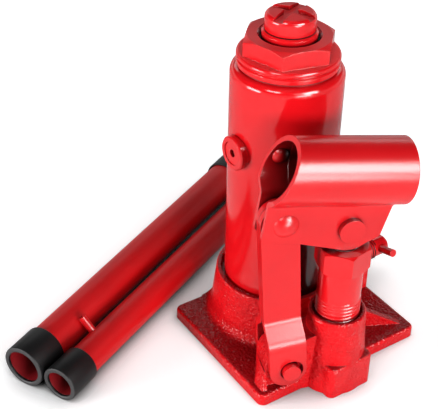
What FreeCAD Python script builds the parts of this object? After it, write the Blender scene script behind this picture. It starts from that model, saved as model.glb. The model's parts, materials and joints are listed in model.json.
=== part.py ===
import FreeCAD, Part
import math
import os

# Hydraulic bottle jack with its two-piece pump handle lying beside it.
# The base plate's long side runs along X. Z is the ram's axis, and the origin is where it meets the floor.
# The pump lever's pieces are drawn in the lever's own plane, X along the handle, and then turned about Z.
Vector = FreeCAD.Vector
ORIGIN = Vector(0, 0, 0)
ALONG = Vector(1, 0, 0)
ACROSS = Vector(0, 1, 0)
UP = Vector(0, 0, 1)

# Fits between pieces
running_fit = 0.05
loose_fit = 0.3
pin_fit = 0.1
tiny = 1e-6

# Base casting
plate_length = 88.0
plate_width = 72.0
plate_thickness = 5.7
plate_corner = 3.2
plate_edge = 1.6
plate_centre_x = 2.7
plate_centre_y = -12.6
boss_height = 29.5
boss_rim = 2.1
boss_draft = 2.0
boss_flare = 5.0
boss_edge = 1.2
casing_seat = 25.0
casing_seat_gap = 1.6
cylinder_seat = 22.5

# Reservoir casing
casing_diameter = 48.0
casing_wall = 2.0
casing_top = 134.0
casing_shoulder = 3.6
gasket_thickness = 1.2
bung_diameter = 14.0
bung_reach = 24.5
filler_height = 99.0
filler_head_diameter = 15.2
filler_head_thickness = 2.5
filler_head_edge = 0.6
filler_shank_diameter = 9.6
filler_shank_length = 7.0
filler_recess_diameter = 10.4
filler_recess_depth = 0.5
filler_hole_diameter = 3.4
filler_hole_depth = 2.0

# Top nut
nut_collar_diameter = 43.2
nut_collar_height = 5.0
nut_collar_round = 1.4
nut_groove_height = 2.4
nut_groove_depth = 0.7
nut_flats = 35.0
nut_height = 12.3
nut_turn = 45.9
nut_chamfer_angle = 30.0
nut_edge = 1.0
nut_skirt_depth = 8.0
nut_skirt_wall = 2.6
wiper_height = 2.4
wiper_width = 2.0

# Pressure cylinder and ram
cylinder_bore = 26.0
cylinder_wall = 3.5
cylinder_top = 142.6
ram_diameter = 23.2
ram_bottom = 25.6
ram_top = 149.5
ram_top_edge = 0.8
ram_mouth_gap = 0.65
piston_top = 44.0
seal_carrier_diameter = 12.0
seal_height = 6.0
seal_floor = 4.0
seal_lip = 2.3
backup_height = 1.4
screw_thread_zone = 20.0
screw_store_floor = 62.0
screw_store_bore = 19.2

# Extension screw
screw_diameter = 16.0
screw_foot = 68.0
screw_head_diameter = 21.2
screw_head_gap = 0.5
screw_head_height = 8.0
screw_head_edge = 2.6
screw_head_crown = 0.9
screw_slot_width = 4.2
screw_slot_depth = 2.2
screw_slot_turn = 22.5
stop_ring_diameter = 18.2
stop_ring_height = 3.0
stop_groove_depth = 1.6

# Pump lever: the plane, and the pivots in it at rest
lever_turn = -18.5
lever_plane = -45.0
pump_place = 13.2
plunger_pivot_height = 83.5
rivet_back = 28.2
rivet_rise = 2.1
lug_place = -10.0
lug_height = 15.5
socket_tilt = 7.8

# Pump cylinder and its boss on the base
pump_boss_diameter = 25.2
pump_boss_height = 38.0
pump_boss_draft = 2.2
pump_boss_edge = 1.4
pump_recess_depth = 4.0
pump_recess_gap = 1.5
pump_foot_half_length = 11.6
pump_foot_half_width = 14.2
pump_foot_height = 16.0
pump_foot_corner = 3.0
pump_seat = 17.0
pump_washer_thickness = 1.0
pump_body_diameter = 18.9
pump_hex_flats = 20.6
pump_hex_height = 10.9
pump_hex_gap = 0.5
pump_hex_turn = 11.0
pump_seal_height = 3.0
pump_seal_width = 2.0
pump_seal_cover = 8.0

# Plunger
plunger_diameter = 12.0
plunger_bottom = 19.2
plunger_eye_radius = 8.0
plunger_blade_length = 15.6
plunger_pin_diameter = 11.0
plunger_pin_proud = 2.2

# Handle socket: one pressed sheet with a round tube above two flanges
socket_sheet = 2.4
socket_bore = 23.0
socket_gap = 6.8
socket_axis_height = 24.3
socket_mouth = 19.4
socket_heel = -37.5
socket_heel_top = 16.0
socket_top_start = -27.6
flange_heel_low = -6.6
flange_chin_radius = 10.6
flange_toe_x = 13.4
flange_toe_z = -4.0
flange_mouth_x = 15.8
socket_corner = 2.5
socket_bend = 2.6
socket_seat_length = 45.0
socket_relief = 0.3
flange_heel_length = 16.3
chin_start_angle = -109.0
chin_end_angle = -44.0
rivet_shank_diameter = 6.0
rivet_head_diameter = 10.6
rivet_head_height = 2.6
stop_rivet_place = -29.4
stop_rivet_diameter = 4.0
stop_rivet_head_diameter = 7.0
stop_rivet_head_height = 1.8

# Link straps between the socket and the lug
link_thickness = 3.0
link_width = 16.4
link_offset = -1.6
link_split = 0.2
link_step_top = 38.0
link_step_bottom = 30.0
link_bend = 6.0
lug_thickness = 14.6
lug_radius = 10.0
lug_pin_diameter = 8.0
lug_pin_proud = 2.4
lug_hole_slack = 1.1
lug_hole_rest_x = 0.67
lug_hole_rest_z = -0.26
lug_web_thickness = 13.6
lug_web_height = 33.5
gusset_reach = 5.6
gusset_taper = 1.9
gusset_height = 13.0
gusset_front = 12.0
gusset_near = 6.3
gusset_blunt = 0.5
rib_turn = -26.8
rib_start_x = 10.7
rib_start_y = -26.7
rib_height = 24.4
rib_length = 35.2
rib_thickness = 3.0
rib_root = 5.0

# Oil passages and valves in the base
oil_height = 12.0
oil_bore = 4.0
suction_height = 4.6
suction_bore = 3.2
valve_chamber_diameter = 10.0
suction_ball_diameter = 7.0
suction_seat = 9.0
delivery_chamber_diameter = 7.0
delivery_seat = -14.0
delivery_ball_diameter = 5.6
delivery_plug_diameter = 9.0
delivery_plug_length = 10.0
delivery_spring_length = 14.0
delivery_spring_radius = 1.9
pressure_port_y = -4.7
suction_angle = 63.0
overload_x = 8.0
overload_y = 7.0
overload_chamber_diameter = 7.0
overload_seat = 16.0
overload_ball_diameter = 5.0
overload_screw_length = 5.0
overload_screw_inset = 1.0
overload_port = 2.4
overload_spring_radius = 1.7
spring_wire = 0.9
spring_turns = 5
driver_slot = 1.2
web_width = 18.0
web_shift = 3.0
web_height = 20.0

# Release valve
release_height = 19.5
release_y = -4.7
release_boss_width = 19.0
release_boss_end = 45.6
release_seat = 17.6
release_chamber_end = 27.0
release_chamber_diameter = 6.6
release_ball_diameter = 5.0
release_thread_diameter = 9.4
release_stem_diameter = 5.8
release_shoulder_gap = 1.2
release_end = 62.6
release_cross_place = 57.6
release_cross_diameter = 3.8
release_cross_length = 27.0
release_cross_turn = 17.5
release_seal_width = 1.6
release_seal_place = 24.5
release_end_edge = 0.8

# Loose pump handle: two tubes with rubber sleeves, lying on the floor
handle_length = 187.5
handle_wall = 1.0
sleeve_wall = 1.1
sleeve_length = 15.0
sleeve_lip = 1.2
large_tube_diameter = 18.0
large_heading = 26.4
large_start_x = -120.1
large_start_y = 19.5
small_tube_diameter = 14.6
small_heading = 25.7
small_start_x = -111.0
small_start_y = 3.0
stud_place = 30.0
stud_diameter = 3.6
stud_length = 7.5
stud_rise = 45.0

# Radii and levels that follow from the driving dimensions
casing_radius = casing_diameter / 2
casing_inside = casing_radius - casing_wall
casing_bottom = casing_seat + gasket_thickness
seat_radius = casing_radius + casing_seat_gap
boss_radius = seat_radius + boss_rim
boss_foot_radius = boss_radius + boss_draft
cylinder_inside = cylinder_bore / 2
cylinder_outside = cylinder_inside + cylinder_wall
cylinder_bottom = cylinder_seat + gasket_thickness
nut_bottom = casing_top + gasket_thickness
nut_top = nut_bottom + nut_height
skirt_radius = cylinder_outside + nut_skirt_wall
skirt_bottom = nut_bottom - nut_skirt_depth
ram_radius = ram_diameter / 2
nut_bore = ram_radius + ram_mouth_gap
wiper_top = cylinder_top + wiper_height
head_bottom = ram_top + screw_head_gap
head_top = head_bottom + screw_head_height
stop_ring_bottom = screw_foot + stop_ring_height
pump_radius = pump_body_diameter / 2
pump_bottom = pump_seat + pump_washer_thickness
pump_hex_top = plunger_pivot_height - flange_chin_radius - pump_hex_gap
pump_hex_bottom = pump_hex_top - pump_hex_height
plunger_radius = plunger_diameter / 2
plunger_bore = plunger_radius + running_fit
socket_inside = socket_bore / 2
socket_outside = socket_inside + socket_sheet
flange_inside = socket_gap / 2
flange_outside = flange_inside + socket_sheet
eye_thickness = socket_gap - 2 * loose_fit
link_top_inside = link_split / 2
link_low_inside = lug_thickness / 2 + loose_fit
lug_pin_radius = lug_pin_diameter / 2
lug_hole_radius = lug_pin_radius + lug_hole_slack
delivery_end = boss_foot_radius
release_thread_radius = release_thread_diameter / 2


def wire(steps, place):
    """Closed wire through flat points; a pair of points is an arc's middle and end."""
    here = start = place(*steps[0])
    edges = []
    for step in list(steps[1:]) + [steps[0]]:
        if isinstance(step[0], tuple):
            middle, end = place(*step[0]), place(*step[1])
            edges.append(Part.Arc(here, middle, end).toShape())
        else:
            end = place(*step)
            if (end - here).Length > tiny:
                edges.append(Part.LineSegment(here, end).toShape())
        here = end
    return Part.Wire(edges)


def upright(x, z):
    """A point of the X-Z plane."""
    return Vector(x, 0, z)


def turned(steps):
    """Solid of revolution about Z from a profile of radius and height."""
    return Part.Face(wire(steps, upright)).revolve(ORIGIN, UP, 360)


def slab(steps, low, high):
    """Upright outline in X and Z, given a thickness from low to high along Y."""
    face = Part.Face(wire(steps, lambda x, z: Vector(x, low, z)))
    return face.extrude(ACROSS * (high - low))


def rounded_edge(shape, point, radius):
    """Round the edge that passes through a point."""
    spot = Part.Vertex(point)
    edges = [e for e in shape.Edges if e.distToShape(spot)[0] < tiny]
    return shape.makeFillet(radius, edges)


def disc(radius, low, high, x=0.0, y=0.0):
    """Upright cylinder between two heights."""
    return Part.makeCylinder(radius, high - low, Vector(x, y, low), UP)


def ring(outer, inner, low, high, x=0.0, y=0.0):
    """Upright ring between two heights."""
    return disc(outer, low, high, x, y).cut(disc(inner, low, high, x, y))


def rod(radius, start, end):
    """Cylinder between two points."""
    return Part.makeCylinder(radius, (end - start).Length, start, end - start)


def crown(radius, low, high):
    """Middle and end of the arc that domes a round face up to its axis."""
    rise = high - low
    sphere = (radius ** 2 + rise ** 2) / (2 * rise)
    half = math.asin(radius / sphere) / 2
    return (sphere * math.sin(half), high - sphere * (1 - math.cos(half))), (0, high)


def ball(diameter, centre):
    """Ball about a point."""
    return Part.makeSphere(diameter / 2, centre)


def hexagon(flats, low, high, turn):
    """Upright hexagonal bar with a corner at the given angle."""
    corner = flats / math.sqrt(3)
    points = []
    for step in range(6):
        angle = math.radians(turn + 60 * step)
        points.append(Vector(corner * math.cos(angle), corner * math.sin(angle), low))
    return Part.Face(Part.makePolygon(points + points[:1])).extrude(UP * (high - low))


def rounded_block(x, y, half_x, half_y, height, corner, edge):
    """Block on the floor with round upright corners and a round top edge."""
    block = Part.makeBox(2 * half_x, 2 * half_y, height, Vector(x - half_x, y - half_y, 0))
    upright_edges = [e for e in block.Edges if abs(e.tangentAt(e.FirstParameter).z) > 0.99]
    block = block.makeFillet(corner, upright_edges)
    top_edges = [e for e in block.Edges if min(v.Z for v in e.Vertexes) > height - tiny]
    return block.makeFillet(edge, top_edges)


def coil(radius, start, end):
    """Compression spring between two points."""
    length = (end - start).Length - spring_wire
    helix = Part.makeHelix(length / spring_turns, length, radius)
    section = Part.Wire(Part.makeCircle(spring_wire / 2, Vector(radius, 0, 0), ACROSS))
    spring = Part.Wire(helix.Edges).makePipeShell([section], True, True)
    spring.translate(Vector(0, 0, spring_wire / 2))
    spring.rotate(ORIGIN, *turn_between(UP, end - start))
    spring.translate(start)
    return spring


def turn_between(first, second):
    """Axis and angle that turn one direction to another."""
    turn = FreeCAD.Rotation(first, second)
    return turn.Axis, math.degrees(turn.Angle)


def lever(shape):
    """Turn a shape from the lever's plane into the base's frame."""
    shape.rotate(ORIGIN, UP, lever_turn)
    return shape


def lever_point(x, y, z):
    """Turn a point from the lever's plane into the base's frame."""
    return FreeCAD.Rotation(UP, lever_turn).multVec(Vector(x, y, z))


def socket(shape):
    """Bring a shape from the socket's own frame, about the plunger pin, to its rest in the jack."""
    shape.rotate(ORIGIN, ACROSS, socket_tilt)
    shape.translate(Vector(pump_place, lever_plane, plunger_pivot_height))
    return lever(shape)


def rivet_point():
    """The link rivet's place in the lever's plane at rest."""
    offset = FreeCAD.Rotation(ACROSS, socket_tilt).multVec(Vector(-rivet_back, 0, rivet_rise))
    return Vector(pump_place, 0, plunger_pivot_height) + offset


def base():
    """Casting: plate, casing boss, pump boss on its foot, lug with its web, and the release boss."""
    pump = lever_point(pump_place, lever_plane, 0)
    plate = rounded_block(plate_centre_x, plate_centre_y, plate_length / 2, plate_width / 2,
                          plate_thickness, plate_corner, plate_edge)
    foot = rounded_block(pump.x, pump.y, pump_foot_half_length, pump_foot_half_width,
                         pump_foot_height, pump_foot_corner, plate_edge)
    web = Part.makeBox(web_width, -pump.y, web_height, Vector(pump.x + web_shift - web_width / 2, pump.y, 0))
    casting = plate.multiFuse([casing_boss(), pump_boss(), foot, web, lug(), gusset(), front_rib(),
                               release_boss()])
    return casting.cut(oil_ways()).removeSplitter()


def casing_boss():
    """Round boss with a drafted side, a flared foot and a seat for the casing and cylinder."""
    bend = boss_flare * (1 - math.sqrt(0.5))
    nip = boss_edge * (1 - math.sqrt(0.5))
    foot = boss_foot_radius + boss_flare
    shoulder = plate_thickness + boss_flare
    flare = turned([
        (0, 0), (foot, 0), (foot, plate_thickness),
        ((boss_foot_radius + bend, plate_thickness + bend), (boss_foot_radius, shoulder)), (0, shoulder)])
    boss = turned([
        (0, 0), (boss_foot_radius, 0), (boss_foot_radius, shoulder), (boss_radius, boss_height - boss_edge),
        ((boss_radius - nip, boss_height - nip), (boss_radius - boss_edge, boss_height)),
        (0, boss_height)])
    inside = Part.makeBox(plate_length, plate_width, boss_height,
                          Vector(plate_centre_x - plate_length / 2, plate_centre_y - plate_width / 2, 0))
    return boss.fuse(flare.common(inside))


def pump_boss():
    """Upright boss with a drafted side that takes the pump cylinder."""
    pump = lever_point(pump_place, lever_plane, 0)
    radius = pump_boss_diameter / 2
    nip = pump_boss_edge * (1 - math.sqrt(0.5))
    boss = turned([
        (0, 0), (radius + pump_boss_draft, 0), (radius, pump_boss_height - pump_boss_edge),
        ((radius - nip, pump_boss_height - nip), (radius - pump_boss_edge, pump_boss_height)),
        (0, pump_boss_height)])
    boss.translate(pump)
    return boss


def lug():
    """Round-topped lug between the links, and the web from it to the pump boss."""
    half = lug_thickness / 2
    ear = slab([(lug_place - lug_radius, 0), (lug_place - lug_radius, lug_height),
                ((lug_place, lug_height + lug_radius), (lug_place + lug_radius, lug_height)),
                (lug_place + lug_radius, 0)], lever_plane - half, lever_plane + half)
    web = slab([(lug_place, 0), (lug_place, lug_height + lug_radius), (pump_place, lug_web_height),
                (pump_place, 0)],
               lever_plane - lug_web_thickness / 2, lever_plane + lug_web_thickness / 2)
    hole = rod(lug_pin_radius, Vector(lug_place, lever_plane - half, lug_height),
               Vector(lug_place, lever_plane + half, lug_height))
    return lever(ear.fuse(web).cut(hole))


def gusset():
    """Sloping gusset from the lug's end down to the plate's front corner."""
    right = lug_place - lug_radius + running_fit
    back, front = lever_plane + lug_thickness / 2, lever_plane - gusset_front
    near = lever_plane - gusset_near
    left = right - gusset_reach
    foot = [(right, back), (left, near), (left + gusset_taper, front), (right, front)]
    head = [(right, back - 2 * gusset_blunt), (right - gusset_blunt, lever_plane),
            (right - gusset_blunt, near), (right, near - gusset_blunt)]
    low = wire(foot, lambda x, y: Vector(x, y, plate_thickness / 2))
    high = wire(head, lambda x, y: Vector(x, y, gusset_height))
    return lever(Part.makeLoft([low, high], True, True))


def front_rib():
    """Rib that slopes from the casing boss to the plate's other front corner."""
    half = rib_thickness / 2
    rib = slab([(-rib_root, 0), (-rib_root, rib_height), (0, rib_height), (rib_length, plate_thickness),
                (rib_length, 0)], -half, half)
    rib.rotate(ORIGIN, UP, rib_turn)
    rib.translate(Vector(rib_start_x, rib_start_y, 0))
    return rib


def release_boss():
    """Round-backed boss that carries the release valve out to the plate's end."""
    half = release_boss_width / 2
    outline = wire([(release_y - half, 0), (release_y - half, release_height),
                    ((release_y, release_height + half), (release_y + half, release_height)),
                    (release_y + half, 0)], lambda y, z: Vector(0, y, z))
    boss = Part.Face(outline).extrude(ALONG * release_boss_end)
    return boss.cut(disc(casing_radius, casing_seat, boss_height))


def oil_ways():
    """Seats, ports and drilled passages that are cut from the casting."""
    pump = lever_point(pump_place, lever_plane, 0)
    port = Vector(0, pressure_port_y, oil_height)
    pump_oil = Vector(pump.x, pump.y, oil_height)
    back = (port - pump_oil).normalize()
    seat_point = port + back * (delivery_seat - pressure_port_y)
    outside = port + back * (delivery_end - pressure_port_y)
    reach = (cylinder_outside + casing_inside) / 2
    angle = math.radians(-suction_angle)
    suction = Vector(reach * math.cos(angle), reach * math.sin(angle), suction_height)
    return_up = Vector(release_seat + release_ball_diameter / 2, release_y, release_height)
    relief = Vector(math.sqrt(reach ** 2 - overload_y ** 2), overload_y, oil_height)
    overload = Vector(overload_x, overload_y, oil_height)
    cuts = [
        disc(seat_radius, casing_seat, boss_height),
        disc(cylinder_outside, cylinder_seat, casing_seat),
        disc(oil_bore / 2, oil_height, cylinder_seat, port.x, port.y),
        disc(pump_radius, pump_seat, pump_boss_height, pump.x, pump.y),
        disc(pump_radius + pump_recess_gap, pump_boss_height - pump_recess_depth, pump_boss_height,
             pump.x, pump.y),
        disc(valve_chamber_diameter / 2, suction_seat, pump_seat, pump.x, pump.y),
        disc(suction_bore / 2, suction_height, suction_seat, pump.x, pump.y),
        rod(suction_bore / 2, Vector(pump.x, pump.y, suction_height), suction),
        disc(suction_bore / 2, suction_height, casing_seat, suction.x, suction.y),
        rod(oil_bore / 2, pump_oil, port),
        rod(delivery_chamber_diameter / 2, seat_point, outside),
        rod(delivery_plug_diameter / 2, outside - back * delivery_plug_length, outside + back * boss_flare),
        rod(release_chamber_diameter / 2, Vector(release_seat, release_y, release_height),
            Vector(release_chamber_end, release_y, release_height)),
        rod(release_thread_radius + pin_fit, Vector(release_chamber_end, release_y, release_height),
            Vector(release_boss_end, release_y, release_height)),
        rod(overload_port / 2, Vector(0, release_y, release_height),
            Vector(release_seat, release_y, release_height)),
        disc(overload_port / 2, release_height, casing_seat, return_up.x, return_up.y),
        disc(overload_chamber_diameter / 2, 0, overload_seat, overload_x, overload_y),
        disc(overload_port / 2, overload_seat, cylinder_seat, overload_x, overload_y),
        rod(overload_port / 2, overload, relief),
        disc(overload_port / 2, oil_height, casing_seat, relief.x, relief.y),
    ]
    return cuts[0].multiFuse(cuts[1:])


def reservoir_casing():
    """Drawn tube with a rolled shoulder, and the bung that takes the filler plug."""
    lip = skirt_radius + loose_fit
    bend = casing_shoulder
    small = bend - casing_wall
    turn = 1 - math.sqrt(0.5)
    shoulder = casing_radius - bend
    body = turned([
        (casing_inside, casing_bottom), (casing_radius, casing_bottom), (casing_radius, casing_top - bend),
        ((casing_radius - bend * turn, casing_top - bend * turn), (shoulder, casing_top)),
        (lip, casing_top), (lip, casing_top - casing_wall), (shoulder, casing_top - casing_wall),
        ((casing_inside - small * turn, casing_top - casing_wall - small * turn),
         (casing_inside, casing_top - bend))])
    bung = rod(bung_diameter / 2, Vector(0, 0, filler_height), Vector(-bung_reach, 0, filler_height))
    bung = bung.cut(disc(casing_inside + casing_wall / 2, casing_bottom, casing_top))
    hole = rod(filler_shank_diameter / 2, Vector(0, 0, filler_height), Vector(-bung_reach, 0, filler_height))
    return body.fuse(bung).cut(hole).removeSplitter()


def filler_plug():
    """Screwed plug with a round head, a shallow dish in its face and a hole for a driver."""
    face = bung_reach + filler_head_thickness
    radius = filler_head_diameter / 2
    edge = filler_head_edge
    plug = turned([
        (0, bung_reach - filler_shank_length), (filler_shank_diameter / 2, bung_reach - filler_shank_length),
        (filler_shank_diameter / 2, bung_reach), (radius, bung_reach), (radius, face - edge),
        (radius - edge, face), (filler_recess_diameter / 2, face),
        (filler_recess_diameter / 2, face - filler_recess_depth),
        (filler_hole_diameter / 2, face - filler_recess_depth),
        (filler_hole_diameter / 2, face - filler_hole_depth), (0, face - filler_hole_depth)])
    plug.rotate(ORIGIN, ACROSS, -90)
    plug.translate(Vector(0, 0, filler_height))
    return plug


def top_nut():
    """Hexagon nut on a grooved collar, chamfered to a cone, with a skirt that screws onto the cylinder."""
    collar_top = nut_bottom + nut_collar_height
    collar = nut_collar_diameter / 2
    edge = nut_edge
    corner = nut_flats / math.sqrt(3)
    drop = (corner - nut_flats / 2 + edge) * math.tan(math.radians(nut_chamfer_angle))
    cone_foot = corner + edge
    bead = nut_collar_round
    nip = bead * (1 - math.sqrt(0.5))
    groove = nut_bottom + nut_groove_height
    depth = nut_groove_depth
    flange = turned([(0, skirt_bottom), (skirt_radius, skirt_bottom), (skirt_radius, nut_bottom),
                     (collar, nut_bottom), (collar, groove - depth), (collar - depth, groove),
                     (collar, groove + depth), (collar, collar_top - bead),
                     ((collar - nip, collar_top - nip), (collar - bead, collar_top)), (0, collar_top)])
    cone = turned([(0, collar_top), (cone_foot, collar_top), (cone_foot, nut_top - drop),
                   (nut_flats / 2, nut_top), (0, nut_top)])
    head = hexagon(nut_flats, collar_top, nut_top, nut_turn).common(cone)
    bore = turned([(0, skirt_bottom), (cylinder_outside, skirt_bottom), (cylinder_outside, cylinder_top),
                   (ram_radius + running_fit + wiper_width, cylinder_top),
                   (ram_radius + running_fit + wiper_width, wiper_top),
                   (nut_bore, wiper_top), (nut_bore, nut_top - edge), (nut_bore + edge, nut_top),
                   (0, nut_top)])
    return flange.fuse(head).cut(bore).removeSplitter()


def ram():
    """Hollow ram: rod, piston head, seal carrier, and the mouth and store for the extension screw."""
    mouth = screw_diameter / 2 + loose_fit
    thread_end = ram_top - screw_thread_zone
    seal_top = ram_bottom + backup_height + seal_height
    piston = cylinder_inside - running_fit
    return turned([
        (0, ram_bottom), (seal_carrier_diameter / 2, ram_bottom), (seal_carrier_diameter / 2, seal_top),
        (piston, seal_top), (piston, piston_top), (ram_radius, piston_top),
        (ram_radius, ram_top - ram_top_edge), (ram_radius - ram_top_edge, ram_top), (mouth, ram_top),
        (mouth, thread_end), (screw_store_bore / 2, thread_end), (screw_store_bore / 2, screw_store_floor),
        (0, screw_store_floor)])


def ram_cup_seal():
    """Cup seal with a flared lip that faces the oil."""
    low = ram_bottom + backup_height
    wall = cylinder_inside - running_fit
    inner = seal_carrier_diameter / 2
    top = low + seal_height
    floor = top - seal_floor
    return turned([(inner, floor), (wall - seal_lip, floor), (wall - seal_lip / 2, low), (wall, low),
                   (wall, top), (inner, top)])


def extension_screw():
    """Screw with a crowned head that is cut across by two slots, and a groove for its stop ring."""
    shank = screw_diameter / 2
    head = screw_head_diameter / 2
    groove = shank - stop_groove_depth
    edge = screw_head_edge
    rim = head_top - screw_head_crown
    nip = edge * (1 - math.sqrt(0.5))
    ring_top = stop_ring_bottom + stop_ring_height
    body = turned([
        (0, screw_foot), (shank, screw_foot), (shank, stop_ring_bottom), (groove, stop_ring_bottom),
        (groove, ring_top), (shank, ring_top), (shank, head_bottom), (head, head_bottom), (head, rim - edge),
        ((head - nip, rim - nip), (head - edge, rim)),
        crown(head - edge, rim, head_top)])
    for turn in (screw_slot_turn, screw_slot_turn + 90):
        slot = Part.makeBox(screw_head_diameter, screw_slot_width, screw_slot_depth,
                            Vector(-head, -screw_slot_width / 2, head_top - screw_slot_depth))
        slot.rotate(ORIGIN, UP, turn)
        body = body.cut(slot)
    return body


def pump_cylinder():
    """Screwed-in pump body with a hexagon top, bored for the plunger and grooved for its seal."""
    pump = lever_point(pump_place, lever_plane, 0)
    corner = pump_hex_flats / math.sqrt(3)
    slope = (corner - pump_hex_flats / 2) * math.tan(math.radians(nut_chamfer_angle))
    cone = turned([(0, pump_hex_bottom), (pump_hex_flats / 2, pump_hex_bottom),
                   (corner, pump_hex_bottom + slope), (corner, pump_hex_top - slope),
                   (pump_hex_flats / 2, pump_hex_top), (0, pump_hex_top)])
    head = hexagon(pump_hex_flats, pump_hex_bottom, pump_hex_top, pump_hex_turn).common(cone)
    body = disc(pump_radius, pump_bottom, pump_hex_bottom).fuse(head)
    seal_top = pump_hex_top - pump_seal_cover
    body = body.cut(disc(plunger_bore, pump_bottom, pump_hex_top))
    body = body.cut(disc(plunger_bore + pump_seal_width, seal_top - pump_seal_height, seal_top))
    body.translate(pump)
    return body.removeSplitter()


def pump_seal():
    """Packing ring round the plunger in the pump body's top."""
    pump = lever_point(pump_place, lever_plane, 0)
    seal_top = pump_hex_top - pump_seal_cover
    outer = plunger_bore + pump_seal_width
    return ring(outer, plunger_bore, seal_top - pump_seal_height, seal_top, pump.x, pump.y)


def pump_plunger():
    """Round plunger with a flat eye for the plunger pin."""
    half = eye_thickness / 2
    blade = plunger_pivot_height - plunger_blade_length
    shaft_top = plunger_pivot_height - plunger_eye_radius / 2
    shaft = disc(plunger_radius, plunger_bottom, shaft_top, pump_place, lever_plane)
    eye = rod(plunger_eye_radius, Vector(pump_place, lever_plane - half, plunger_pivot_height),
              Vector(pump_place, lever_plane + half, plunger_pivot_height))
    cheeks = Part.makeBox(2 * plunger_radius, 2 * plunger_radius, plunger_blade_length,
                          Vector(pump_place - plunger_radius, lever_plane + half, blade))
    other = cheeks.copy()
    other.translate(ACROSS * (-2 * plunger_radius - eye_thickness))
    hole = rod(plunger_pin_diameter / 2 + pin_fit,
               Vector(pump_place, lever_plane - half, plunger_pivot_height),
               Vector(pump_place, lever_plane + half, plunger_pivot_height))
    return lever(shaft.cut(cheeks).cut(other).fuse(eye).cut(hole).removeSplitter())


def handle_socket():
    """Pressed sheet: a round tube over two flanges, cut slantwise at the heel and shaped round the pins."""
    length = socket_mouth - socket_heel
    body = socket_section(socket_sheet).extrude(ALONG * length)
    body = body.cut(socket_section(0).extrude(ALONG * length))
    body = body.cut(socket_section(socket_relief).extrude(ALONG * (length - socket_seat_length)))
    body.translate(ALONG * socket_heel)
    top = socket_axis_height + socket_outside + socket_corner
    mouth_low = socket_axis_height - socket_inside
    middle_angle = (chin_start_angle + chin_end_angle) / 2
    side = slab([
        (socket_heel, socket_heel_top), (socket_heel, flange_heel_low),
        (socket_heel + flange_heel_length, flange_heel_low), chin_point(chin_start_angle),
        (chin_point(middle_angle), chin_point(chin_end_angle)), (flange_toe_x, flange_toe_z),
        (flange_mouth_x, mouth_low), (socket_mouth, mouth_low), (socket_mouth, top), (socket_top_start, top)],
        -2 * socket_outside, 2 * socket_outside)
    side = rounded_edge(side, Vector(socket_heel, 0, flange_heel_low), socket_corner)
    side = rounded_edge(side, Vector(flange_toe_x, 0, flange_toe_z), socket_corner)
    reach = 2 * socket_outside
    holes = [rod(plunger_pin_diameter / 2, Vector(0, -reach, 0), Vector(0, reach, 0)),
             rod(rivet_shank_diameter / 2, Vector(-rivet_back, -reach, rivet_rise),
                 Vector(-rivet_back, reach, rivet_rise)),
             rod(stop_rivet_diameter / 2, Vector(stop_rivet_place, 0, socket_axis_height),
                 Vector(stop_rivet_place, reach, socket_axis_height))]
    body = body.common(side)
    for hole in holes:
        body = body.cut(hole)
    return socket(body.removeSplitter())


def chin_point(angle):
    """Point of the flange's lower edge, round the plunger pin."""
    turn = math.radians(angle)
    return flange_chin_radius * math.cos(turn), flange_chin_radius * math.sin(turn)


def socket_section(grow):
    """Keyhole face across the handle: a circle that bends into a slot, grown outwards by a thickness."""
    radius = socket_inside + grow
    half = flange_inside + grow
    bend = socket_bend + socket_sheet - grow
    drop = math.sqrt((radius + bend) ** 2 - (half + bend) ** 2)
    knee = socket_axis_height - drop
    reach = radius / (radius + bend)
    tangent = (reach * (half + bend), socket_axis_height - reach * drop)
    lean = math.atan2(drop, half + bend) / 2
    middle = (half + bend - bend * math.cos(lean), knee + bend * math.sin(lean))
    low = -2 * flange_chin_radius
    outline = wire([(half, low), (half, knee), (middle, tangent),
                    ((0, socket_axis_height + radius), (-tangent[0], tangent[1])),
                    ((-middle[0], middle[1]), (-half, knee)), (-half, low)],
                   lambda y, z: Vector(0, y, z))
    return Part.Face(outline)


def plunger_pin():
    """Flat-ended pin through the flanges and the plunger's eye."""
    reach = flange_outside + plunger_pin_proud
    return socket(rod(plunger_pin_diameter / 2, Vector(0, -reach, 0), Vector(0, reach, 0)))


def domed_head(diameter, height, start, outward):
    """Domed rivet head on a face."""
    radius = diameter / 2
    head = turned([(0, 0), (radius, 0), crown(radius, 0, height)])
    head.rotate(ORIGIN, *turn_between(UP, outward))
    head.translate(start)
    return head


def link_rivet():
    """Rivet with two domed heads that holds the links in the socket."""
    near = Vector(-rivet_back, -flange_outside, rivet_rise)
    far = Vector(-rivet_back, flange_outside, rivet_rise)
    shank = rod(rivet_shank_diameter / 2, near, far)
    return socket(shank.fuse(domed_head(rivet_head_diameter, rivet_head_height, near, ACROSS * -1))
                  .fuse(domed_head(rivet_head_diameter, rivet_head_height, far, ACROSS)).removeSplitter())


def stop_rivet():
    """Rivet in the socket's far wall whose inside head stops the handle."""
    deep = math.sqrt((socket_inside + socket_relief) ** 2 - (stop_rivet_head_diameter / 2) ** 2)
    inside = Vector(stop_rivet_place, deep, socket_axis_height)
    outside = Vector(stop_rivet_place, socket_outside, socket_axis_height)
    return socket(rod(stop_rivet_diameter / 2, inside, outside)
                  .fuse(domed_head(stop_rivet_head_diameter, stop_rivet_head_height, inside, ACROSS * -1))
                  .removeSplitter())


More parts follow.
